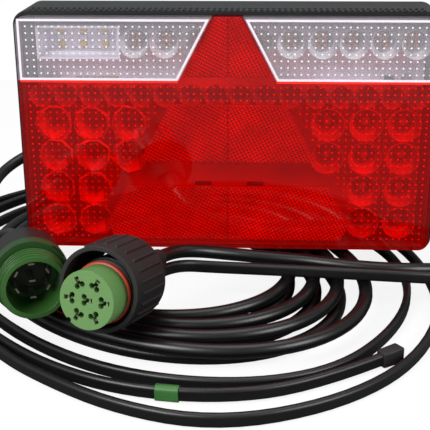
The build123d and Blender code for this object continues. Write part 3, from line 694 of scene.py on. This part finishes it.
class LAMP_OT_leads(bpy.types.Operator):
    """Lays the two round leads and the flat lead, with its sleeve and its cap"""

    bl_idname = "lamp.leads"
    bl_label = "Leads"

    def execute(self, context):
        sizes = context.scene.lead_sizes
        foot, out, up = coupling_axis()
        round_exit, flat_exit = foot + up * 4.2, foot - up * 4.2
        round_radius = sizes.round_diameter / 2

        supply_points = [
            (-50, -5, -30),
            (-50, 40, -30),
            (-46, 66, -33),
            (-31, 86, -38),
            (-6, 96, TABLE + 43),
            (20, 88, TABLE + 38),
            (37, 66, TABLE + 29),
            (43, 44, TABLE + 21),
            (47, 24, TABLE + 13.5),
            (51, 8, TABLE + 11.5),
            *coil_turns(sizes),
            (-24, 68, TABLE + 14),
            (12, 74, ON_COIL),
            (48, 77, ON_COIL),
            (84, 75, TABLE + 16),
            (118, 64, TABLE + 8),
            (147, 36, ON_TABLE + 0.2),
            (157, 0, ON_TABLE),
            (153, -36, TABLE + 6),
            (138, -64, TABLE + 12),
            (114, -79, TABLE + 17.5),
            (88, -83, ON_COIL - 0.4),
            (64, -79, ON_COIL),
            (44, -73, ON_COIL),
            (22, -71, ON_COIL + 0.7),
            (1, -74, TABLE + 23.5),
            (-17, -81, TABLE + 28),
            tuple(round_exit - out * 17),
            tuple(round_exit),
        ]
        supply = new_curve("supply_lead", supply_points, round_radius, "jacket")
        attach(supply, BODY)
        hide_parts("supply_lead_tail", "supply_lead_coil", "supply_lead_front")

        turn = math.radians(PLUG_TURN)
        plug_out = Vector((math.sin(turn), -math.cos(turn), 0))
        plug_end = Vector(PLUG_SPOT) - plug_out * PLUG_LENGTH
        link_points = [
            (-86, -5, -30),
            (-86, 44, -30),
            (-90, 70, -33),
            (-106, 90, -39),
            (-130, 96, TABLE + 40),
            (-152, 86, TABLE + 33),
            (-165, 62, TABLE + 26.5),
            (-165, 30, TABLE + 21.5),
            (-158, -4, ON_COIL),
            (-147, -34, ON_COIL),
            (-133, -60, TABLE + 26),
            tuple(plug_end - plug_out * 30),
            tuple(plug_end),
        ]
        link = new_curve("link_lead_jacket", link_points, round_radius, "jacket")
        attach(link, BODY)
        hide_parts("link_lead")

        z = FLAT_ON_TABLE
        branch_points = [
            tuple(flat_exit),
            tuple(flat_exit - out * 12),
            (-22, -89.5, TABLE + 22.5),
            (-9, -86.5, TABLE + 20.5),
            (12, -86, FLAT_ON_COIL),
            (50, -89, FLAT_ON_COIL),
            (88, -93, FLAT_ON_COIL),
            (122, -90, TABLE + 17),
            (150, -75, TABLE + 10),
            (167, -44, TABLE + 4.5),
            (171, 2, z),
            (156, 50, z),
            (116, 88, z),
            (60, 106, z),
            (-4, 116, z),
            (-72, 122, z),
            (-136, 106, z),
            (-180, 58, z),
            (-194, -6, z),
            (-182, -64, z),
            (-152, -116, z),
            (-114, -155, z),
            (-92, -177, z),
            (-46, -209, z),
            (2, -222, z),
            (54, -203, z),
            (94, -165, z),
            (118, -108, z),
            (119, -50, z),
            (106, 4, z),
            (76, 50, z),
            (24, 80, z),
            (-36, 92, z),
            (-96, 88, z),
            (-142, 60, z),
            (-166, 10, z),
            (-165, -44, z),
            (-143, -94, z),
            (-106, -140, z),
            (-62, -173, z),
            (-18, -187, z),
            (25, -186, z),
            (60, -169, z),
            (86, -134, z),
            (102, -94, z),
            (106, -48, z),
            (93, -2, z),
            (62, 38, z),
            (16, 65, TABLE + 4.5),
            (-34, 80, TABLE + 11),
            (-72, 94, TABLE + 11.4),
            (-112, 97, TABLE + 10),
            (-160, 66, TABLE + 4),
            (-181, 12, z),
            (-180, -42, z),
            (-158, -94, z),
            (-118, -143, z),
            (-84, -173, z),
            (-46, -194, z + 0.8),
            (1, -200, z + 0.8),
            (44, -187, z + 0.4),
            (80, -160, z + 0.8),
        ]
        branch, path = flat_tube(
            "branch_lead_jacket",
            branch_points,
            (sizes.flat_thickness, sizes.flat_height),
            "flat_lead_painted_sheen",
        )
        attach(branch, BODY)
        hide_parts("branch_lead")

        start, end = Vector(branch_points[-4]), Vector(branch_points[-3])
        run = (end - start).normalized()
        mark = (start + end) / 2
        sleeve, _ = flat_tube(
            "marker_sleeve_green",
            [tuple(mark - run * 5.5), tuple(mark), tuple(mark + run * 5.5)],
            (sizes.flat_thickness + 1.4 * MM, sizes.flat_height + 1.2 * MM),
            "sleeve",
        )
        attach(sleeve, BODY)
        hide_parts("marker_sleeve")

        cap_foot = Vector(branch_points[-1])
        run = (cap_foot - Vector(branch_points[-2])).normalized()
        bm = bmesh.new()
        bmesh.ops.create_cube(bm, size=1.0)
        bmesh.ops.scale(bm, vec=(13 * MM, 6.4 * MM, 8.2 * MM), verts=bm.verts)
        wide = [v for v in bm.verts if v.co.x > 0]
        bmesh.ops.scale(bm, vec=(1, 1.12, 1.02), verts=wide)
        bmesh.ops.bevel(
            bm,
            geom=bm.edges[:],
            offset=1.0 * MM,
            offset_type="OFFSET",
            segments=3,
            profile=0.5,
            affect="EDGES",
            material=-1,
        )
        turn = Matrix.Rotation(math.atan2(run.y, run.x), 4, "Z")
        spot = (cap_foot + run * 5.0) * MM
        bmesh.ops.transform(bm, matrix=Matrix.Translation(spot) @ turn, verts=bm.verts)
        cap = piece_from("branch_cap", bm, ["rubber"], smooth=40)
        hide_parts("branch_end_cap")
        return {"FINISHED"}


def flat_tube(name, points, section, finish):
    """Flat lead that stands on its edge, with the points of its centreline."""
    line = new_curve(name + "_line", points, 0.0, finish)
    graph = bpy.context.evaluated_depsgraph_get()
    centre = bpy.data.meshes.new_from_object(line.evaluated_get(graph))
    path = [tuple(v.co) for v in centre.vertices]
    outline = bpy.data.curves.new(name + "_section", "CURVE")
    outline.dimensions = "2D"
    outline.resolution_u = 4
    wide, tall = section
    loop = outline.splines.new("BEZIER")
    loop.bezier_points.add(7)
    bend, reach = wide * 0.42, wide * 0.23
    corners = [
        (wide / 2, tall / 2 - bend, 0, reach),
        (wide / 2 - bend, tall / 2, -reach, 0),
        (bend - wide / 2, tall / 2, -reach, 0),
        (-wide / 2, tall / 2 - bend, 0, -reach),
        (-wide / 2, bend - tall / 2, 0, -reach),
        (bend - wide / 2, -tall / 2, reach, 0),
        (wide / 2 - bend, -tall / 2, reach, 0),
        (wide / 2, bend - tall / 2, 0, reach),
    ]
    for point, (x, y, dx, dy) in zip(loop.bezier_points, corners):
        point.co = (x, y, 0)
        point.handle_left = (x - dx, y - dy, 0)
        point.handle_right = (x + dx, y + dy, 0)
    loop.use_cyclic_u = True
    section_object = bpy.data.objects.new(name + "_section", outline)
    bpy.context.scene.collection.objects.link(section_object)
    line.data.twist_mode = "Z_UP"
    line.data.bevel_mode = "OBJECT"
    line.data.bevel_object = section_object
    graph = bpy.context.evaluated_depsgraph_get()
    graph.update()
    mesh = bpy.data.meshes.new_from_object(line.evaluated_get(graph))
    mesh.name = name
    bm = bmesh.new()
    bm.from_mesh(mesh)
    bmesh.ops.remove_doubles(bm, verts=bm.verts, dist=0.000005)
    bmesh.ops.recalc_face_normals(bm, faces=bm.faces)
    bm.to_mesh(mesh)
    bm.free()
    for face in mesh.polygons:
        face.use_smooth = True
    mesh.set_sharp_from_angle(angle=math.radians(50))
    mesh.materials.clear()
    mesh.materials.append(finishes[finish])
    tube = bpy.data.objects.new(name, mesh)
    bpy.context.scene.collection.objects.link(tube)
    bpy.data.objects.remove(line)
    bpy.data.objects.remove(section_object)
    bpy.data.meshes.remove(centre)
    return tube, path


class LAMP_OT_lens(bpy.types.Operator):
    """Finishes the lens and adds its moulded dots, coloured as painted glints, the window lines,
    coloured as painted highlights, and the weld
    """

    bl_idname = "lamp.lens"
    bl_label = "Lens"

    def execute(self, context):
        sizes = context.scene.lamp_sizes
        dress("red_lens", "red_lens")
        dress("clear_lens", "clear_lens")
        low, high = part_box("red_lens")
        front = low[1]
        inside = front + 2.5 * MM
        divider = DIVIDER * MM
        band = DOTTED_BAND * MM
        half_height = high[2]
        half_width = high[0]
        rows = {"clear_dot_painted_glints": [], "red_dot_painted_glints": []}
        columns = int(half_width / sizes.dot_pitch)
        for i in range(-columns, columns + 1):
            for j in range(-18, 19):
                x, z = i * sizes.dot_pitch, (j + 0.5) * sizes.dot_pitch
                edge = triangle_half(z)
                if abs(x) > half_width - 3 * MM or abs(z) > half_height - 2.6 * MM:
                    continue
                if z > divider + 1.8 * MM and abs(x) > edge + 3.2 * MM:
                    rows["clear_dot_painted_glints"].append((x, z))
                elif band < z < divider - 1.5 * MM:
                    rows["red_dot_painted_glints"].append((x, z))
                elif z < band and abs(x) > edge + 2.6 * MM:
                    rows["red_dot_painted_glints"].append((x, z))
        upright = Matrix.Rotation(math.radians(-90), 4, "X")
        # each moulded dot is coloured bright as a painted glint
        for name, spots in rows.items():
            bm = bmesh.new()
            for x, z in spots:
                bmesh.ops.create_cone(
                    bm,
                    cap_ends=False,
                    segments=6,
                    radius1=sizes.dot_width / 2,
                    radius2=sizes.dot_width / 5,
                    depth=0.5 * MM,
                    matrix=Matrix.Translation((x, inside + 0.3 * MM, z)) @ upright,
                )
            open_ends = [e for e in bm.edges if e.is_boundary]
            bmesh.ops.holes_fill(bm, edges=open_ends, sides=6)
            bmesh.ops.recalc_face_normals(bm, faces=bm.faces)
            dots = piece_from("lens_" + name, bm, [name], smooth=60)

        # raised line round each clear window, coloured pale as a painted highlight along its edge
        bm = bmesh.new()
        outer = half_width - 1.2 * MM
        top = half_height - 1.4 * MM
        for side in (-1, 1):
            corners = window_corners(side, top, divider + 0.3 * MM, outer, 0.6 * MM)
            frame_ring(bm, corners, sizes.highlight_line_width, front + 0.02 * MM, 0.12 * MM)
        lines = piece_from("lens_window_lines", bm, ["window_line"])

        bm = bmesh.new()
        for side in (-1, 1):
            corners = [
                (side * (27.5 * MM), divider + 0.2 * MM),
                (side * outer, divider + 0.2 * MM),
                (side * outer, divider - 1.0 * MM),
                (side * (27.5 * MM), divider - 1.0 * MM),
            ]
            face = bm.faces.new([bm.verts.new((x, front - 0.08 * MM, z)) for x, z in corners])
            bm.normal_update()
            if face.normal.y > 0:
                face.normal_flip()
            raised = bmesh.ops.extrude_face_region(bm, geom=[face])
            back = [v for v in raised["geom"] if isinstance(v, bmesh.types.BMVert)]
            bmesh.ops.translate(bm, verts=back, vec=(0, 0.1 * MM, 0))
        bmesh.ops.recalc_face_normals(bm, faces=bm.faces)
        weld = piece_from("lens_weld", bm, ["weld_line"])
        return {"FINISHED"}


class LAMP_OT_triangle(bpy.types.Operator):
    """Makes the three blocks of prisms of the triangle reflector"""

    bl_idname = "lamp.triangle"
    bl_label = "Triangle reflector"

    def execute(self, context):
        sizes = context.scene.lamp_sizes
        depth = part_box("triangle_reflectors")[1][1] - 1.4 * MM
        # top, bottom and half width at the top; width and height of the lower corners cut off
        blocks = (
            (67.0, 33.5, 7.0, 0.0, 0.0),
            (17.6, -16.2, 32.9, 0.0, 0.0),
            (-31.0, -64.0, 58.9, 4.9, 9.2),
        )
        whole = bmesh.new()
        for top, bottom, half_top, cut, drop in blocks:
            half_bottom = half_top + TRIANGLE_SLOPE * (top - bottom - drop)
            for side, tilt in ((-1, 63), (1, 28)):
                bm = bmesh.new()
                reach = half_bottom * 0.75 * MM + 6 * MM
                cells = max(4, round(2 * reach / sizes.prism_pitch))
                centre = Vector((side * half_bottom * 0.5 * MM, depth, (top + bottom) / 2 * MM))
                bmesh.ops.create_grid(
                    bm,
                    x_segments=cells,
                    y_segments=cells,
                    size=reach,
                    matrix=Matrix.Translation(centre)
                    @ Matrix.Rotation(math.radians(90), 4, "X")
                    @ Matrix.Rotation(math.radians(tilt), 4, "Z"),
                )
                slope = Vector((1, 0, TRIANGLE_SLOPE)).normalized()
                cuts = [
                    ((0, 0, top), (0, 0, 1)),
                    ((0, 0, bottom), (0, 0, -1)),
                    ((side * 0.15, 0, 0), (-side, 0, 0)),
                    ((side * half_top, 0, top), (side * slope.x, 0, slope.z)),
                ]
                if cut:
                    cuts.append(
                        (
                            (side * half_bottom, 0, bottom + drop),
                            (side * drop, 0, -cut),
                        )
                    )
                for spot, out in cuts:
                    bmesh.ops.bisect_plane(
                        bm,
                        geom=bm.verts[:] + bm.edges[:] + bm.faces[:],
                        plane_co=Vector(spot) * MM,
                        plane_no=Vector(out).normalized(),
                        clear_outer=True,
                    )
                bmesh.ops.poke(bm, faces=bm.faces[:], offset=sizes.prism_rise)
                part = bpy.data.meshes.new("prisms_part")
                bm.to_mesh(part)
                bm.free()
                whole.from_mesh(part)
                bpy.data.meshes.remove(part)
        prisms = piece_from("triangle_prisms", whole, ["prisms"])
        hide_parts("triangle_reflectors")
        dress("backing", "reflector_backings")
        return {"FINISHED"}


def cup_spots(first, pitch, count, height):
    """Places of a row of light points, in millimetres."""
    return [(first + pitch * k, height) for k in range(count)]


def turned(board, spots, *profiles):
    """Like optics at each light point, from profiles that stand on the board and their sides."""
    bm = bmesh.new()
    for x, z in spots:
        foot = Vector((x * MM, board, z * MM))
        for profile, sides in profiles:
            spun(bm, [(r * MM, h * MM) for r, h in profile], foot, (0, -1, 0), sides)
    return bm


class LAMP_OT_optics(bpy.types.Operator):
    """Makes the optics in front of the light points"""

    bl_idname = "lamp.optics"
    bl_label = "Optics"

    def execute(self, context):
        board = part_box("tail_leds")[1][1]
        columns = [102.0, 80.0]
        rows = [-56.4 + 20 * k for k in range(4)]
        brake = [(x, z) for x in columns for z in rows] + [(58.0, z) for z in rows[2:]]
        fog = [(-x, z) for x, z in brake]
        tail = cup_spots(-108.75, 14.5, 16, TAIL_ROW)
        left = cup_spots(-18.7, -17.5, 3, INDICATOR_ROW)
        indicator = left + cup_spots(18.7, 17.5, 6, INDICATOR_ROW)
        reversing = cup_spots(-99.0, 13.0, 3, 46.5) + cup_spots(-99.0, 13.0, 3, 54.5)

        # stepped bowls with a bull's eye in the middle: they show as rings, each step painted lighter
        # or darker by the way it faces
        bowl = [(3.4, 0.3), (5.0, 7), (5.6, 7.4), (7.2, 14), (7.8, 14.4), (9.4, 21.6), (9.9, 21.6)]
        eye = [(0.0, 13.2), (1.8, 12.8), (3.0, 11.2), (3.4, 9.0)]
        bm = turned(board, brake, (bowl, 20), (eye, 14))
        bmesh.ops.recalc_face_normals(bm, faces=bm.faces)
        cups = piece_from("brake_bowls", bm, ["cup"], smooth=22)
        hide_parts("brake_cups")

        # crinkled bowls: every facet is painted lighter or darker by the way it faces, as painted
        # glints and shade
        bowl = [(3.4, 0.3), (5.2, 6), (6.4, 11), (8.0, 16), (9.6, 21.6), (11.0, 21.2)]
        bm = turned(board, fog, (bowl, 9))
        noise.seed_set(1)  # the same crinkles in every run
        for vert in bm.verts:
            shake = noise.noise_vector(vert.co * 420) * 1.5 * MM
            if board - vert.co.y > 2 * MM:
                vert.co += Vector((shake.x, abs(shake.y), shake.z))
        bmesh.ops.triangulate(bm, faces=bm.faces[:])
        bmesh.ops.recalc_face_normals(bm, faces=bm.faces)
        cups = piece_from("fog_bowls", bm, ["crinkled_cup"])
        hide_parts("fog_cups")

        bowl = [(3.4, 0.3), (4.6, 8), (5.0, 8.4), (6.2, 16), (6.9, 21.6)]
        bm = turned(board, tail, (bowl, 8))
        bmesh.ops.recalc_face_normals(bm, faces=bm.faces)
        cups = piece_from("tail_bowls", bm, ["cup"])
        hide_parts("tail_cups")

        # clear stepped bowls, their steps painted lighter or darker by the way they face; the amber
        # they show is the painted reflections below
        bowl = [(3.4, 0.3), (4.8, 6), (5.5, 6.5), (6.6, 12), (7.2, 12.5), (8.4, 19), (8.6, 21.8)]
        bm = turned(board, indicator, (bowl, 20))
        bmesh.ops.recalc_face_normals(bm, faces=bm.faces)
        cups = piece_from("indicator_bowls", bm, ["clear_cup"], smooth=30)
        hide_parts("indicator_cups")

        # amber beads in two columns of three: painted reflections of each diode, repeated by the
        # bowl's steps
        reflection_profile = [(0.0, 9.0), (0.9, 8.7), (1.3, 8.0), (1.3, 0.3)]
        steps = [(dx, dz * 0.8) for dx in (-1.9, 1.9) for dz in (-3.6, 0.0, 3.6)]
        reflection_spots = [(x + dx, z + dz) for x, z in indicator for dx, dz in steps]
        bm = turned(board, reflection_spots, (reflection_profile, 4))
        bmesh.ops.recalc_face_normals(bm, faces=bm.faces)
        diode_reflections = piece_from("indicator_painted_reflections", bm, ["amber"], smooth=50)

        # two yellow pads for each reversing diode: its phosphor and a painted reflection of it
        pad = [(0.0, 1.0), (1.7, 0.9), (2.2, 0.4), (2.3, 0.0)]
        bm = turned(board, reversing, (pad, 12))
        bmesh.ops.recalc_face_normals(bm, faces=bm.faces)
        phosphor_and_reflection_pads = piece_from("reversing_phosphor_and_reflection", bm, ["phosphor"], smooth=40)

        dress("reflector", "reversing_reflector")
        dress("amber", "indicator_leds")
        dress("white_led", "reversing_leds")
        dress("red_led", "tail_leds", "brake_leds", "fog_leds")
        return {"FINISHED"}


class LAMP_OT_boards(bpy.types.Operator):
    """Finishes the boards and what is soldered and screwed to them"""

    bl_idname = "lamp.boards"
    bl_label = "Boards"

    def execute(self, context):
        dress("board", "indicator_board", "tail_board")
        dress("zinc", "board_screws")
        dress("black_part", "driver_chips", "terminal_blocks")
        dress("beige_part", "board_resistors")
        dress("wire", "core_wires")
        return {"FINISHED"}


class LAMP_OT_housing(bpy.types.Operator):
    """Finishes the housing and adds the two rows of teeth on its top"""

    bl_idname = "lamp.housing"
    bl_label = "Housing"

    def execute(self, context):
        sizes = context.scene.lamp_sizes
        dress("housing", "housing")
        dress("rubber", "lens_seal")
        low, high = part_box("housing")
        bm = bmesh.new()
        half = high[0] - 10 * MM
        count = int(2 * half / sizes.tooth_pitch)
        lying = Matrix.Rotation(math.radians(90), 4, "X")
        for row in (low[1] + 2.2 * MM, low[1] + 9.0 * MM):
            for k in range(count + 1):
                x = -half + k * sizes.tooth_pitch
                bmesh.ops.create_cone(
                    bm,
                    cap_ends=True,
                    segments=8,
                    radius1=1.25 * MM,
                    radius2=1.25 * MM,
                    depth=3.0 * MM,
                    matrix=Matrix.Translation((x, row, high[2] - 0.35 * MM)) @ lying,
                )
        teeth = piece_from("housing_teeth", bm, ["housing"], smooth=50)
        return {"FINISHED"}


class LAMP_OT_rear(bpy.types.Operator):
    """Finishes the studs, the vent and the cable glands"""

    bl_idname = "lamp.rear"
    bl_label = "Rear"

    def execute(self, context):
        dress("thread", "mounting_studs")
        dress("gland", "vent_plug", "supply_gland_body", "supply_gland_nut")
        dress("gland", "link_gland_body", "link_gland_nut", "gland_locknuts")
        dress("rubber", "supply_gland_seal", "link_gland_seal")
        return {"FINISHED"}


class LAMP_OT_connectors(bpy.types.Operator):
    """Finishes the screwed plug and the coupling with its loose nut"""

    bl_idname = "lamp.connectors"
    bl_label = "Connectors"

    def execute(self, context):
        dress("plug_green", "plug_shell")
        dress("ring_green", "plug_ring")
        dress("socket", "plug_insert")
        dress("brass", "plug_pins", "coupling_contacts")
        dress("black", "plug_backshell", "coupling_body", "coupling_backshell")
        dress("rubber", "plug_relief", "coupling_boot")
        dress("face_green", "coupling_insert")
        dress("seal", "coupling_seal")
        dress("grey_ring", "coupling_ring")
        dress("nut", "coupling_nut")
        return {"FINISHED"}


class LAMP_PT_builder(bpy.types.Panel):
    """Lists the sizes, the colours and the build steps"""

    bl_idname = "LAMP_PT_builder"
    bl_label = "Trailer Lamp"
    bl_space_type = "VIEW_3D"
    bl_region_type = "UI"
    bl_category = "Lamp"

    def draw(self, context):
        scene = context.scene
        for group in (scene.lamp_sizes, scene.lead_sizes, scene.lamp_colours):
            box = self.layout.box()
            for name in group.__annotations__:
                box.prop(group, name)
        for step in STEPS:
            self.layout.operator(step.bl_idname)


STEPS = (
    LAMP_OT_finishes,
    LAMP_OT_camera,
    LAMP_OT_stage,
    LAMP_OT_leads,
    LAMP_OT_lens,
    LAMP_OT_triangle,
    LAMP_OT_optics,
    LAMP_OT_boards,
    LAMP_OT_housing,
    LAMP_OT_rear,
    LAMP_OT_connectors,
)
GROUPS = (LampSizes, LeadSizes, LampColours)


def register():
    """Adds the classes and their settings."""
    for kind in (*GROUPS, *STEPS, LAMP_PT_builder):
        bpy.utils.register_class(kind)
    bpy.types.Scene.lamp_sizes = PointerProperty(type=LampSizes)
    bpy.types.Scene.lead_sizes = PointerProperty(type=LeadSizes)
    bpy.types.Scene.lamp_colours = PointerProperty(type=LampColours)


def unregister():
    """Takes the classes and their settings out again."""
    del bpy.types.Scene.lamp_sizes
    del bpy.types.Scene.lead_sizes
    del bpy.types.Scene.lamp_colours
    for kind in reversed((*GROUPS, *STEPS, LAMP_PT_builder)):
        bpy.utils.unregister_class(kind)


def main():
    """Builds everything."""
    register()
    for step in STEPS:
        group, name = step.bl_idname.split(".")
        getattr(getattr(bpy.ops, group), name)()


if __name__ == "__main__":
    main()
